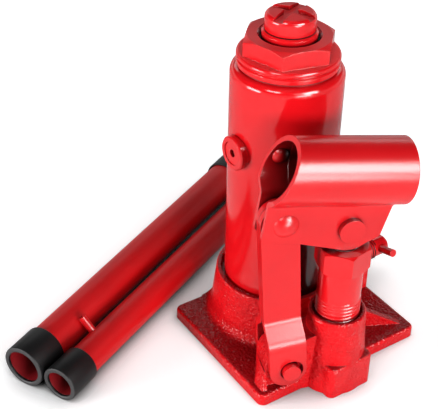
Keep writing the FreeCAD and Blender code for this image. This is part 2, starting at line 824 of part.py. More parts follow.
def link(side):
    """Joggled strap, next to its twin at the rivet and stepped out to straddle the lug; side -1 is near."""
    hole_x = lug_place + lug_hole_rest_x
    hole_z = lug_height + lug_hole_rest_z
    rivet = rivet_point()
    rise, run = rivet.z - hole_z, rivet.x - hole_x
    length = math.hypot(rise, run)
    half = link_width / 2
    inner, outer = link_top_inside, link_low_inside
    step_low, step_high = link_step_bottom - hole_z, link_step_top - hole_z
    bend = math.atan2(outer - inner, step_high - step_low)
    drop = link_thickness * math.tan(bend / 2)
    strip = [(outer, -half), (outer, step_low - drop), (inner, step_high - drop), (inner, length + half)]
    back = [(inner + link_thickness, length + half), (inner + link_thickness, step_high),
            (outer + link_thickness, step_low), (outer + link_thickness, -half)]
    face = Part.Face(wire(strip + back, lambda y, z: Vector(link_offset - half, side * y, z)))
    strap = face.extrude(ALONG * link_width)
    wide = link_bend + link_thickness
    for y, z, radius in ((outer, step_low - drop, link_bend), (inner, step_high - drop, wide),
                         (inner + link_thickness, step_high, link_bend),
                         (outer + link_thickness, step_low, wide)):
        strap = rounded_edge(strap, Vector(link_offset, side * y, z), radius)
    reach = outer + 2 * link_thickness
    left, right = link_offset - half, link_offset + half
    outline = slab([(left, 0), (left, length), ((link_offset, length + half), (right, length)), (right, 0),
                    ((link_offset, -half), (left, 0))], -reach, reach)
    holes = [rod(lug_hole_radius, Vector(0, -reach, 0), Vector(0, reach, 0)),
             rod(rivet_shank_diameter / 2 + pin_fit, Vector(0, -reach, length), Vector(0, reach, length))]
    strap = strap.common(outline).cut(holes[0]).cut(holes[1])
    strap.rotate(ORIGIN, ACROSS, math.degrees(math.atan2(run, rise)))
    strap.translate(Vector(hole_x, lever_plane, hole_z))
    return lever(strap)


def lug_pin():
    """Flat-ended pin, tight in the lug, that the links pull on."""
    reach = link_low_inside + link_thickness + lug_pin_proud
    return lever(rod(lug_pin_radius, Vector(lug_place, lever_plane - reach, lug_height),
                     Vector(lug_place, lever_plane + reach, lug_height)))


def delivery_line():
    """Start of the delivery chamber and its direction out of the base's back."""
    pump = lever_point(pump_place, lever_plane, oil_height)
    port = Vector(0, pressure_port_y, oil_height)
    back = (port - pump).normalize()
    return port + back * (delivery_seat - pressure_port_y), back


def delivery_plug():
    """Plug screw with a driver slot that closes the delivery chamber and backs its spring."""
    seat, back = delivery_line()
    head = seat + back * (delivery_end - delivery_seat)
    nose = seat + back * (delivery_ball_diameter + delivery_spring_length)
    shoulder = head - back * delivery_plug_length
    plug = rod(delivery_plug_diameter / 2, shoulder, head)
    plug = plug.fuse(rod(delivery_chamber_diameter / 2 - loose_fit, nose, shoulder))
    slot = Part.makeBox(2 * delivery_plug_diameter, driver_slot * 2, driver_slot,
                        Vector(-delivery_plug_diameter, -driver_slot, -driver_slot / 2))
    slot.translate(head)
    return plug.cut(slot).removeSplitter()


def overload_screw():
    """Slotted adjusting screw under the overload spring, set in from the base's underside."""
    radius = overload_chamber_diameter / 2
    head = overload_screw_inset + overload_screw_length
    screw = disc(radius, overload_screw_inset, head, overload_x, overload_y)
    slot = Part.makeBox(4 * radius, driver_slot, 2 * driver_slot,
                        Vector(overload_x - 2 * radius, overload_y - driver_slot / 2,
                               overload_screw_inset - driver_slot))
    return screw.cut(slot)


def release_line(x):
    """Point on the release valve's axis."""
    return Vector(x, release_y, release_height)


def release_spindle():
    """Screwed spindle: stem against the ball, threaded middle, and a plain end drilled for the cross pin."""
    edge = release_end_edge
    tip = release_seat + release_ball_diameter
    shoulder = release_chamber_end + release_shoulder_gap
    spindle = rod(release_stem_diameter / 2, release_line(tip), release_line(shoulder))
    thread = rod(release_thread_radius, release_line(shoulder), release_line(release_end - edge))
    point = Part.makeCone(release_thread_radius, release_thread_radius - edge, edge,
                          release_line(release_end - edge), ALONG)
    groove = ring(release_stem_diameter / 2, release_stem_diameter / 2 - release_seal_width / 2,
                  -release_seal_width / 2, release_seal_width / 2)
    groove.rotate(ORIGIN, ACROSS, 90)
    groove.translate(release_line(release_seal_place))
    return spindle.fuse(thread).fuse(point).cut(groove).cut(release_cross_pin()).removeSplitter()


def release_seal():
    """Seal ring on the spindle's stem."""
    outer = release_chamber_diameter / 2 - running_fit
    inner = release_stem_diameter / 2 - release_seal_width / 2
    seal = ring(outer, inner, -release_seal_width / 2, release_seal_width / 2)
    seal.rotate(ORIGIN, ACROSS, 90)
    seal.translate(release_line(release_seal_place))
    return seal


def release_cross_pin():
    """Bar through the spindle's end for turning the valve by hand."""
    pin = disc(release_cross_diameter / 2, -release_cross_length / 2, release_cross_length / 2)
    pin.rotate(ORIGIN, ALONG, 90 - release_cross_turn)
    pin.translate(release_line(release_cross_place))
    return pin


def handle(shape, diameter, heading, x, y):
    """Lay a handle piece, drawn upright from its near end, on the floor beside the jack."""
    shape.rotate(ORIGIN, ACROSS, 90)
    shape.rotate(ORIGIN, UP, heading)
    shape.translate(Vector(x, y, diameter / 2 + sleeve_wall))
    return shape


def large(shape):
    """Lay a piece of the larger handle tube."""
    return handle(shape, large_tube_diameter, large_heading, large_start_x, large_start_y)


def small(shape):
    """Lay a piece of the smaller handle tube, clear of the larger one's sleeve."""
    return handle(shape, small_tube_diameter, small_heading, small_start_x, small_start_y)


def tube(diameter):
    """Handle tube from its near end up."""
    return ring(diameter / 2, diameter / 2 - handle_wall, 0, handle_length)


def sleeve(diameter):
    """Rubber sleeve over a tube's end, with a lip that covers the tube's cut edge."""
    outer = diameter / 2 + sleeve_wall
    bore = diameter / 2 - handle_wall
    edge = sleeve_wall / 2
    return turned([(bore, -sleeve_lip), (outer - edge, -sleeve_lip), (outer, edge - sleeve_lip),
                   (outer, sleeve_length), (diameter / 2, sleeve_length), (diameter / 2, 0), (bore, 0)])


def far_sleeve(diameter):
    """The same sleeve turned round on the tube's far end."""
    cap = sleeve(diameter)
    cap.rotate(ORIGIN, ALONG, 180)
    cap.translate(UP * handle_length)
    return cap


def handle_stud():
    """Stud on the smaller tube that locks the two tubes together."""
    radius = small_tube_diameter / 2
    stud = disc(stud_diameter / 2, radius - handle_wall / 2, radius + stud_length)
    stud.rotate(ORIGIN, ALONG, -90)
    stud.rotate(ORIGIN, UP, stud_rise)
    stud.translate(UP * stud_place)
    return stud


def small_tube():
    """Smaller tube with the hole that its stud is set in."""
    return tube(small_tube_diameter).cut(handle_stud())


def build():
    """All pieces by name."""
    pump = lever_point(pump_place, lever_plane, 0)
    suction_centre = suction_seat + suction_ball_diameter / 2
    delivery_seat_point, back = delivery_line()
    overload_ball_z = overload_seat - overload_ball_diameter / 2
    spring_low = Vector(overload_x, overload_y, overload_screw_inset + overload_screw_length)
    spring_high = Vector(overload_x, overload_y, overload_seat - overload_ball_diameter)
    delivery_spring_start = delivery_seat_point + back * delivery_ball_diameter
    gasket_edge = casing_seat_gap / 2
    return {
        "base": base(),
        "reservoir_casing": reservoir_casing(),
        "casing_gasket": ring(casing_radius + gasket_edge, casing_inside - gasket_edge,
                              casing_seat, casing_bottom),
        "pressure_cylinder": ring(cylinder_outside, cylinder_inside, cylinder_bottom, cylinder_top),
        "cylinder_washer": ring(cylinder_outside, cylinder_inside, cylinder_seat, cylinder_bottom),
        "top_nut": top_nut(),
        "nut_gasket": ring(nut_collar_diameter / 2 - casing_wall / 2, skirt_radius, casing_top, nut_bottom),
        "ram_wiper": ring(ram_radius + running_fit + wiper_width, ram_radius + running_fit,
                          cylinder_top, wiper_top),
        "filler_plug": filler_plug(),
        "pump_cylinder": pump_cylinder(),
        "pump_washer": ring(pump_radius, plunger_bore, pump_seat, pump_bottom, pump.x, pump.y),
        "pump_seal": pump_seal(),
        "suction_ball": ball(suction_ball_diameter, Vector(pump.x, pump.y, suction_centre)),
        "delivery_ball": ball(delivery_ball_diameter,
                              delivery_seat_point + back * (delivery_ball_diameter / 2)),
        "delivery_spring": coil(delivery_spring_radius, delivery_spring_start,
                                delivery_spring_start + back * delivery_spring_length),
        "delivery_plug": delivery_plug(),
        "overload_ball": ball(overload_ball_diameter, Vector(overload_x, overload_y, overload_ball_z)),
        "overload_spring": coil(overload_spring_radius, spring_low, spring_high),
        "overload_screw": overload_screw(),
        "lug_pin": lug_pin(),
        "ram": ram(),
        "ram_cup_seal": ram_cup_seal(),
        "ram_backup_ring": ring(cylinder_inside - loose_fit, seal_carrier_diameter / 2,
                                ram_bottom, ram_bottom + backup_height),
        "screw_stop_ring": ring(stop_ring_diameter / 2, screw_diameter / 2 - stop_groove_depth + pin_fit,
                                stop_ring_bottom + pin_fit, stop_ring_bottom + stop_ring_height - pin_fit),
        "extension_screw": extension_screw(),
        "pump_plunger": pump_plunger(),
        "handle_socket": handle_socket(),
        "plunger_pin": plunger_pin(),
        "link_rivet": link_rivet(),
        "stop_rivet": stop_rivet(),
        "near_link": link(-1),
        "far_link": link(1),
        "release_ball": ball(release_ball_diameter,
                             release_line(release_seat + release_ball_diameter / 2)),
        "release_spindle": release_spindle(),
        "release_seal": release_seal(),
        "release_cross_pin": release_cross_pin(),
        "large_handle_tube": large(tube(large_tube_diameter)),
        "large_near_sleeve": large(sleeve(large_tube_diameter)),
        "large_far_sleeve": large(far_sleeve(large_tube_diameter)),
        "small_handle_tube": small(small_tube()),
        "small_near_sleeve": small(sleeve(small_tube_diameter)),
        "handle_stud": small(handle_stud()),
    }


os.makedirs("parts", exist_ok=True)
for name, shape in build().items():
    shape.exportStep("parts/" + name + ".step")
    print(name, shape.isValid(), len(shape.Solids), round(shape.Volume, 1))
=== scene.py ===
import json
import logging
import math
from dataclasses import dataclass, field, replace
from enum import Enum

import bmesh
import bpy
from mathutils import Matrix, Vector


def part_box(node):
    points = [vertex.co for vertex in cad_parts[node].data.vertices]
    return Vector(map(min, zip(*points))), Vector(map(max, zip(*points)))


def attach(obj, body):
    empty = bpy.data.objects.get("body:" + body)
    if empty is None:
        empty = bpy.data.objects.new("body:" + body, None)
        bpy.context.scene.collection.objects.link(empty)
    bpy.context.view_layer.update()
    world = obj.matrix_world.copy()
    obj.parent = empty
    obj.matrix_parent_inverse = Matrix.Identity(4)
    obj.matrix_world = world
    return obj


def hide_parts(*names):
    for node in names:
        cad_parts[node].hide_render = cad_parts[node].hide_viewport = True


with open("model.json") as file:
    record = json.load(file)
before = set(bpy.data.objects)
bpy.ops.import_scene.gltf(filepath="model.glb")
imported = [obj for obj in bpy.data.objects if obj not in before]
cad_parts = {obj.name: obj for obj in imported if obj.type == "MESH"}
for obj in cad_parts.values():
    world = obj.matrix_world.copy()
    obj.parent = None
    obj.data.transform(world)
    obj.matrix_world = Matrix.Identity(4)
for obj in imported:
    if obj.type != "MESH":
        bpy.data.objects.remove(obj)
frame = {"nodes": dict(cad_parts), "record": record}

MM = 0.001
EDGE_SAMPLES = 4
SHADE_SAMPLES = 8
DRIFT_LOW, DRIFT_HIGH = 0.35, 0.65  # noise values at which a finish has reached its shade or its colour
RIDGE_SHARE = 0.48  # half width of a thread's ridge, as a share of the pitch
log = logging.getLogger("jack")


class Slot(str, Enum):
    """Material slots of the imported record."""

    RED = "red_enamel"
    DARK_RED = "dark_red_enamel"
    RUBBER = "black_rubber"
    SEAL = "seal_rubber"
    STEEL = "ground_steel"
    COPPER = "copper"


class Reach(Enum):
    """What a lamp does: light everything, show only in reflections, or only light matt surfaces."""

    ALL = "all"
    MIRRORED = "mirrored"
    MATT = "matt"


def linear(hex_colour: str) -> tuple[float, float, float, float]:
    """Turn an sRGB hex colour into linear RGBA.

    Args:
        hex_colour: colour such as "#d0121b".

    Returns:
        The colour in linear light, with full alpha.
    """
    channels = [int(hex_colour[i:i + 2], 16) / 255 for i in (1, 3, 5)]
    red, green, blue = (c / 12.92 if c <= 0.04045 else ((c + 0.055) / 1.055) ** 2.4 for c in channels)
    return red, green, blue, 1.0


def add(tree: bpy.types.NodeTree, kind: str, values: dict | None = None, **settings: object) -> bpy.types.Node:
    """Add a node, set its properties, and set or link its inputs.

    Args:
        tree: node tree that gets the node.
        kind: node type, such as "ShaderNodeBump".
        values: input name or number, with a value or another node's output socket.
        **settings: properties of the node.

    Returns:
        The new node.
    """
    node = tree.nodes.new(kind)
    for name, value in settings.items():
        setattr(node, name, value)
    for name, value in (values or {}).items():
        if isinstance(value, bpy.types.NodeSocket):
            tree.links.new(value, node.inputs[name])
        else:
            node.inputs[name].default_value = value
    return node


def grain(size_mm: float) -> float:
    """Texture scale that gives features of about this size on Object coordinates in metres."""
    return 1 / (size_mm * MM)


def facing_up(tree: bpy.types.NodeTree) -> bpy.types.NodeSocket:
    """Socket with the upward part of the surface's normal."""
    normal = add(tree, "ShaderNodeNewGeometry").outputs["True Normal"]
    return add(tree, "ShaderNodeSeparateXYZ", {0: normal}).outputs["Z"]


@dataclass(frozen=True)
class Finish:
    """A surface: one shader whose colour drifts a little and whose skin has a fine bump."""

    name: str
    slot: Slot
    colour: str
    shade: str
    roughness: float
    drift_mm: float = 30.0
    skin_mm: float = 2.0
    skin_depth_mm: float = 0.01
    metallic: float = 0.0
    edge_mm: float = 0.35
    specular: float = 0.5
    pit_mm: float = 0.0
    pit_depth_mm: float = 0.0
    # Painted shade: the coat darkens in narrow places, where nearby pieces close it in.
    recess_mm: float = 0.0
    recess_closed: float = 0.2
    recess_open: float = 0.6
    recess_shade_colour: str = "#2e0507"

    def material(self) -> bpy.types.Material:
        """Return this finish's material, made on first use."""
        return bpy.data.materials.get(self.name) or self.make()

    def make(self) -> bpy.types.Material:
        """Build the material's node tree.

        Returns:
            The new material.
        """
        material = bpy.data.materials.new(self.name)
        material.use_nodes = True
        tree = material.node_tree
        tree.nodes.clear()
        place = add(tree, "ShaderNodeTexCoord").outputs["Object"]
        skin = add(tree, "ShaderNodeTexNoise", {"Vector": place, "Scale": grain(self.skin_mm), "Detail": 2.0})
        edge = add(tree, "ShaderNodeBevel", {"Radius": self.edge_mm * MM}, samples=EDGE_SAMPLES)
        bump = add(tree, "ShaderNodeBump", {"Height": skin.outputs[0], "Normal": edge.outputs[0], "Strength": 1.0,
                                            "Distance": self.skin_depth_mm * MM})
        if self.pit_depth_mm:
            pits = add(tree, "ShaderNodeTexVoronoi", {"Vector": place, "Scale": grain(self.pit_mm)},
                       feature="SMOOTH_F1")
            bump = add(tree, "ShaderNodeBump", {"Height": pits.outputs["Distance"], "Normal": bump.outputs[0],
                                                "Strength": 1.0, "Distance": self.pit_depth_mm * MM})
        colour = self.tone(tree, place)
        # Painted shade in narrow places.
        if self.recess_mm:
            colour = self.painted_recess_shade(tree, colour)
        shader = add(tree, "ShaderNodeBsdfPrincipled", {
            "Base Color": colour, "Roughness": self.dullness(tree), "Metallic": self.metallic,
            "Specular IOR Level": self.specular, "Normal": bump.outputs[0]})
        add(tree, "ShaderNodeOutputMaterial", {"Surface": shader.outputs[0]})
        return material

    def tone(self, tree: bpy.types.NodeTree, place: bpy.types.NodeSocket) -> bpy.types.NodeSocket:
        """Let the colour drift between its two shades.

        Args:
            tree: the material's node tree.
            place: Object coordinates.

        Returns:
            The colour's socket.
        """
        drift = add(tree, "ShaderNodeTexNoise", {"Vector": place, "Scale": grain(self.drift_mm), "Detail": 3.0})
        share = add(tree, "ShaderNodeMapRange", {"Value": drift.outputs[0], "From Min": DRIFT_LOW,
                                                 "From Max": DRIFT_HIGH})
        return add(tree, "ShaderNodeMix", {0: share.outputs[0], 6: linear(self.shade), 7: linear(self.colour)},
                   data_type="RGBA").outputs[2]

    def dullness(self, tree: bpy.types.NodeTree) -> float | bpy.types.NodeSocket:
        """Roughness of the surface: the same all over."""
        return self.roughness

    def painted_recess_shade(self, tree: bpy.types.NodeTree, colour: bpy.types.NodeSocket) -> bpy.types.NodeSocket:
        """Paint shade into the coat in narrow places, where nearby pieces close it in.

        Args:
            tree: the material's node tree.
            colour: colour in the open.

        Returns:
            The colour's socket.
        """
        nearby = add(tree, "ShaderNodeAmbientOcclusion", {"Distance": self.recess_mm * MM},
                     samples=SHADE_SAMPLES)
        share = add(tree, "ShaderNodeMapRange", {"Value": nearby.outputs["AO"], "From Min": self.recess_closed,
                                                 "From Max": self.recess_open, "To Min": 1.0, "To Max": 0.0})
        return add(tree, "ShaderNodeMix", {0: share.outputs[0], 6: colour, 7: linear(self.recess_shade_colour)},
                   data_type="RGBA").outputs[2]


@dataclass(frozen=True)
class TubeFinish(Finish):
    """Paint of a tube whose bore is darker: partly a thin dark coat, partly painted shade."""

    start: tuple[float, float, float] = (0.0, 0.0, 0.0)
    along: tuple[float, float, float] = (1.0, 0.0, 0.0)
    bore_mm: float = 0.0
    bore_margin_mm: float = 0.3
    bore_coat_and_shade_colour: str = "#86181e"

    def tone(self, tree: bpy.types.NodeTree, place: bpy.types.NodeSocket) -> bpy.types.NodeSocket:
        """Use the dark colour closer to the tube's axis than its bore: partly a thin coat, partly painted shade.

        Args:
            tree: the material's node tree.
            place: Object coordinates.

        Returns:
            The colour's socket.
        """
        apart = add(tree, "ShaderNodeVectorMath", {0: place, 1: self.start}, operation="SUBTRACT")
        across = add(tree, "ShaderNodeVectorMath", {0: apart.outputs[0], 1: self.along}, operation="CROSS_PRODUCT")
        radius = add(tree, "ShaderNodeVectorMath", {0: across.outputs[0]}, operation="LENGTH").outputs["Value"]
        limit = (self.bore_mm + self.bore_margin_mm) * MM
        inside = add(tree, "ShaderNodeMath", {0: radius, 1: limit}, operation="LESS_THAN")
        return add(tree, "ShaderNodeMix", {0: inside.outputs[0], 6: super().tone(tree, place),
                                           7: linear(self.bore_coat_and_shade_colour)}, data_type="RGBA").outputs[2]


@dataclass(frozen=True)
class CastFinish(Finish):
    """Paint of a casting whose level faces are darker: partly a darker coat in their grit, partly painted shade."""

    level_grit_and_shade_colour: str = "#7c0a10"
    level_grit_and_shade_share: float = 0.85
    level_from: float = 0.7
    level_to: float = 0.97

    def tone(self, tree: bpy.types.NodeTree, place: bpy.types.NodeSocket) -> bpy.types.NodeSocket:
        """Mix in the dark colour where the casting faces up: partly a darker coat in the grit, partly painted shade.

        Args:
            tree: the material's node tree.
            place: Object coordinates.

        Returns:
            The colour's socket.
        """
        level = add(tree, "ShaderNodeMapRange", {"Value": facing_up(tree), "From Min": self.level_from,
                                                 "From Max": self.level_to, "To Max": self.level_grit_and_shade_share})
        return add(tree, "ShaderNodeMix", {0: level.outputs[0], 6: super().tone(tree, place),
                                           7: linear(self.level_grit_and_shade_colour)}, data_type="RGBA").outputs[2]


@dataclass(frozen=True)
class FacedFinish(Finish):
    """Paint of turned pieces whose level faces are left dull by the facing cut under it."""

    level_roughness: float = 0.6
    level_from: float = 0.8
    level_to: float = 0.97

    def dullness(self, tree: bpy.types.NodeTree) -> float | bpy.types.NodeSocket:
        """Raise the roughness where the piece faces up.

        Args:
            tree: the material's node tree.

        Returns:
            The roughness's socket.
        """
        return add(tree, "ShaderNodeMapRange", {
            "Value": facing_up(tree), "From Min": self.level_from, "From Max": self.level_to,
            "To Min": self.roughness, "To Max": self.level_roughness}).outputs[0]


@dataclass(frozen=True)
class CasingFinish(Finish):
    """Paint of the casing, whose narrow places get a deep painted shade only close to the pump."""

    shade_centre: tuple[float, float, float] = (0.0, 0.0, 0.0)
    shade_inner_mm: float = 30.0
    shade_outer_mm: float = 44.0

    def painted_recess_shade(self, tree: bpy.types.NodeTree, colour: bpy.types.NodeSocket) -> bpy.types.NodeSocket:
        """Paint shade into the coat in narrow places close to the pump only.

        Args:
            tree: the material's node tree.
            colour: colour in the open.

        Returns:
            The colour's socket.
        """
        place = add(tree, "ShaderNodeTexCoord").outputs["Object"]
        apart = add(tree, "ShaderNodeVectorMath", {0: place, 1: self.shade_centre}, operation="DISTANCE")
        share = add(tree, "ShaderNodeMapRange", {
            "Value": apart.outputs["Value"], "From Min": self.shade_inner_mm * MM,
            "From Max": self.shade_outer_mm * MM, "To Min": 1.0, "To Max": 0.0})
        return add(tree, "ShaderNodeMix", {0: share.outputs[0], 6: colour, 7: super().painted_recess_shade(tree, colour)},
                   data_type="RGBA").outputs[2]


# Sprayed gloss enamel on machined or drawn steel: clear reflections with a faint orange-peel ripple, and painted shade
# in narrow places.
GLOSS_ENAMEL = Finish("sprayed_red_enamel", Slot.RED, "#e4121a", "#dc0f17", 0.13, skin_mm=3.0, skin_depth_mm=0.005,
                      recess_mm=30.0)
# The same coat on the nut, ram and extension screw: clear reflections on their sides, dull tops, and painted shade in
# narrow places.
FACED_ENAMEL = FacedFinish("red_enamel_on_faced_steel", Slot.RED, "#e4121a", "#dc0f17", 0.13, skin_mm=3.0,
                           skin_depth_mm=0.005, recess_mm=30.0)
# The same coat on the casing: clear reflections, and a deep painted shade in narrow places behind the pump.
CASING_ENAMEL = CasingFinish("sprayed_red_casing_enamel", Slot.RED, "#e4121a", "#dc0f17", 0.13, skin_mm=3.0,
                             skin_depth_mm=0.005, recess_mm=45.0, recess_closed=0.4, recess_open=0.75,
                             recess_shade_colour="#1c0304")
# A dry, thin spray on the pressed lever: the same red with a fine grain that blurs its reflections, and painted shade
# in narrow places.
PRESSED_ENAMEL = Finish("dry_sprayed_red_enamel", Slot.RED, "#e4121a", "#dc0f17", 0.26, skin_mm=0.8,
                        skin_depth_mm=0.035, recess_mm=30.0, recess_open=0.72)
# The release screw's thread: a deep, dull red, much darker than the jack's red.
DEEP_RED_THREAD = Finish("deep_red_thread", Slot.RED, "#640b0f", "#47080b", 0.3)
# The same enamel over sand-cast iron: the casting's grit shows through as a pebbled skin; its level faces are darker,
# partly a darker coat in the grit and partly painted shade.
# The grit is drawn coarser than sand, so that it shows in the render.
CAST_ENAMEL = CastFinish("red_enamel_on_cast_iron", Slot.RED, "#e4121a", "#d61018", 0.2, drift_mm=7.0, skin_mm=2.2,
                         skin_depth_mm=0.35, edge_mm=0.7, specular=0.2, pit_mm=1.1, pit_depth_mm=0.5)
# A darker coat on the drawn handle tubes: smooth, a little deeper than the jack's red.
TUBE_ENAMEL = TubeFinish("dark_red_tube_enamel", Slot.DARK_RED, "#d00c13", "#c40a11", 0.4, skin_mm=3.0,
                         skin_depth_mm=0.005, specular=0.25)
# The tubes' red on the small stud that is welded to one of them.
STUD_ENAMEL = Finish("dark_red_stud_enamel", Slot.DARK_RED, "#d40f16", "#c60d14", 0.28, specular=0.35)
# Moulded rubber sleeves: near black with a soft grey sheen.
SLEEVE_RUBBER = Finish("moulded_black_rubber", Slot.RUBBER, "#131314", "#0e0e0f", 0.42, skin_mm=0.8,
                       skin_depth_mm=0.01, specular=0.2)
# The sleeves' cut rims: the same rubber, greyer and drier where it was trimmed.
CUT_RUBBER = Finish("cut_black_rubber", Slot.RUBBER, "#302e2f", "#282627", 0.55, skin_mm=0.8, skin_depth_mm=0.01)
# Nitrile seals inside the jack: matt and dark.
SEAL_RUBBER = Finish("nitrile_seal_rubber", Slot.SEAL, "#202124", "#191a1c", 0.55)
# Rims of the two body gaskets, sprayed over with the jack: a dull dark red line at each joint.
SPRAYED_SEAL = Finish("sprayed_seal_rim", Slot.SEAL, "#a00d13", "#8a0b11", 0.4)
# Steel plugs of the drilled oil ways, sprayed over with the casting: the jack's red, a little duller.
SPRAYED_PLUG = Finish("sprayed_steel_plug", Slot.STEEL, "#d61018", "#c80e15", 0.3)
# Ground steel of the working pieces: grinding marks, drawn coarser than real ones, dull the reflection.
GROUND_STEEL = Finish("ground_steel", Slot.STEEL, "#c3c4c6", "#b4b5b8", 0.28, skin_mm=0.4, skin_depth_mm=0.002,
                      metallic=1.0)
# Soft copper washers: warm, slightly tarnished.
COPPER = Finish("annealed_copper", Slot.COPPER, "#c9764c", "#b4633c", 0.35, metallic=1.0)


def dress(finish: Finish, *nodes: str) -> None:
    """Give CAD nodes a finish.

    Args:
        finish: surface to use.
        *nodes: names of the CAD nodes.
    """
    for name in nodes:
        node = frame["nodes"][name]
        node.data.materials.clear()
        node.data.materials.append(finish.material())
        log.info("dressed %s in %s", name, finish.name)


def bore_of(mount_name: str) -> tuple[Vector, Vector, float]:
    """Open end of a bore, the direction into it, and its radius in millimetres.

    Args:
        mount_name: name of the bore's mount in the record.

    Returns:
        The point in metres, the unit direction and the radius.
    """
    mount = next(m for m in frame["record"]["mounts"] if m["name"] == mount_name)
    return Vector(mount["pos_m"]), -Vector(mount["axis"]), mount["dims"]["r_mm"]


def add_piece(name: str, mesh: bmesh.types.BMesh, body: str, finish: Finish, replaces: tuple[str, ...] = ()
              ) -> bpy.types.Object:
    """Turn a finished bmesh into a piece that rides on a body.

    Args:
        name: the piece's name.
        mesh: geometry in metres in the model's frame; it is freed here.
        body: CAD body the piece moves with.
        finish: surface of the piece.
        replaces: CAD nodes that the piece stands for.

    Returns:
        The new object.
    """
    data = bpy.data.meshes.new(name)
    mesh.to_mesh(data)
    mesh.free()
    data.materials.append(finish.material())
    piece = bpy.data.objects.new(name, data)
    bpy.context.scene.collection.objects.link(piece)
    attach(piece, body)
    if replaces:
        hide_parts(*replaces)
    log.info("built %s with %d faces", name, len(data.polygons))
    return piece


def place_on(mesh: bmesh.types.BMesh, origin: Vector, direction: Vector) -> None:
    """Move a mesh drawn along Z so that it starts at a point and runs in a direction.

    Args:
        mesh: mesh to move.
        origin: where its own origin goes.
        direction: where its Z axis points.
    """
    turn = direction.to_track_quat("Z", "Y").to_matrix().to_4x4()
    bmesh.ops.transform(mesh, matrix=Matrix.Translation(origin) @ turn, verts=mesh.verts)


def turned(profile: list[tuple[float, float]], steps: int = 96) -> bmesh.types.BMesh:
    """Spin a closed profile about Z.

    Args:
        profile: radius and height pairs in millimetres.
        steps: divisions of the full turn.

    Returns:
        A closed ring with its faces outwards.
    """
    mesh = bmesh.new()
    verts = [mesh.verts.new((radius * MM, 0, height * MM)) for radius, height in profile]
    edges = [mesh.edges.new((a, b)) for a, b in zip(verts, verts[1:] + verts[:1])]
    bmesh.ops.spin(mesh, geom=verts + edges, cent=(0, 0, 0), axis=(0, 0, 1), angle=math.tau, steps=steps,
                   use_merge=True)
    bmesh.ops.remove_doubles(mesh, verts=mesh.verts, dist=1e-6)
    bmesh.ops.recalc_face_normals(mesh, faces=mesh.faces)
    for face in mesh.faces:
        face.smooth = True
    return mesh


def thread_ridge(radius: float, depth: float, pitch: float, length: float, steps: int = 48) -> bmesh.types.BMesh:
    """Screw a V-shaped ridge up a cylinder about Z.

    Args:
        radius: radius of the cylinder that carries the thread.
        depth: how far the ridge stands out of it.
        pitch: rise in one turn.
        length: length of the threaded part.
        steps: divisions of one turn.

    Returns:
        A closed ridge whose root lies inside the cylinder.
    """
    mesh = bmesh.new()
    half = pitch * RIDGE_SHARE
    corners = [(radius - depth, -half), (radius + depth, 0.0), (radius - depth, half)]
    verts = [mesh.verts.new((r * MM, 0, z * MM)) for r, z in corners]
    edges = [mesh.edges.new((verts[i - 1], verts[i])) for i in range(3)]
    turns = length / pitch
    total = round(turns * steps)
    bmesh.ops.spin(mesh, geom=verts + edges, cent=(0, 0, 0), axis=(0, 0, 1), angle=math.tau * turns, steps=total,
                   dvec=(0, 0, length * MM / total))
    bmesh.ops.holes_fill(mesh, edges=[edge for edge in mesh.edges if edge.is_boundary])
    bmesh.ops.recalc_face_normals(mesh, faces=mesh.faces)
    return mesh


@dataclass
class Casting:
    """The cast base."""

    nodes: tuple[str, ...] = ("base",)

    def dress(self) -> None:
        """Paint the casting."""
        dress(CAST_ENAMEL, *self.nodes)


@dataclass
class Reservoir:
    """Casing, top nut, filler plug, ram and extension screw with its thread."""

    screw_radius: float = 8.0
    pitch: float = 4.0
    depth: float = 0.22
    thread_from: float = 78.0
    thread_to: float = 146.0

    def build(self) -> None:
        """Cut the thread that shows when the extension screw is wound out."""
        mesh = thread_ridge(self.screw_radius, self.depth, self.pitch, self.thread_to - self.thread_from)
        place_on(mesh, Vector((0, 0, self.thread_from * MM)), Vector((0, 0, 1)))
        add_piece("screw_thread", mesh, "extension_screw", GLOSS_ENAMEL)

    def dress(self) -> None:
        """Paint what shows of the upright column."""
        low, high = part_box("pump_cylinder")
        # Painted shade behind the pump, centred on the pump cylinder.
        dress(replace(CASING_ENAMEL, shade_centre=tuple((low + high) / 2)), "reservoir_casing")
        dress(FACED_ENAMEL, "top_nut", "ram", "extension_screw")
        dress(GLOSS_ENAMEL, "filler_plug")


@dataclass
class Pump:
    """Pump cylinder with the thread that screws it into its boss, and the plunger."""

    pitch: float = 1.8
    depth: float = 0.35
    thread_from: float = 33.0
    thread_to: float = 46.0

    def build(self) -> None:
        """Cut the thread that shows above the boss."""
        low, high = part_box("pump_washer")
        radius = (high.x - low.x) / 2 / MM
        mesh = thread_ridge(radius, self.depth, self.pitch, self.thread_to - self.thread_from)
        axis = Vector(((low.x + high.x) / 2, (low.y + high.y) / 2, self.thread_from * MM))
        place_on(mesh, axis, Vector((0, 0, 1)))
        add_piece("pump_thread", mesh, "jack_body", PRESSED_ENAMEL)

    def dress(self) -> None:
        """Paint the pump body and leave the plunger bright."""
        dress(GLOSS_ENAMEL, "pump_cylinder")
        dress(GROUND_STEEL, "pump_plunger")


@dataclass
class PumpLever:
    """Handle socket with its pins, and the two links."""

    nodes: tuple[str, ...] = ("handle_socket", "near_link", "far_link", "plunger_pin", "link_rivet", "stop_rivet",
                              "lug_pin")

    def dress(self) -> None:
        """Paint the lever's pieces."""
        dress(PRESSED_ENAMEL, *self.nodes)


@dataclass
class ReleaseValve:
    """Release spindle with its thread, and the bar that turns it."""

    pitch: float = 1.25
    depth: float = 0.45
    thread_from: float = 48.3
    thread_to: float = 55.0

    def build(self) -> None:
        """Cut the thread that shows outside the boss."""
        low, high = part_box("release_spindle")
        centre = (low + high) / 2
        radius = (high.z - low.z) / 2 / MM
        mesh = thread_ridge(radius, self.depth, self.pitch, self.thread_to - self.thread_from)
        place_on(mesh, Vector((self.thread_from * MM, centre.y, centre.z)), Vector((1, 0, 0)))
        add_piece("release_thread", mesh, "release_valve", DEEP_RED_THREAD)

    def dress(self) -> None:
        """Paint the spindle and its bar."""
        dress(GLOSS_ENAMEL, "release_spindle", "release_cross_pin")


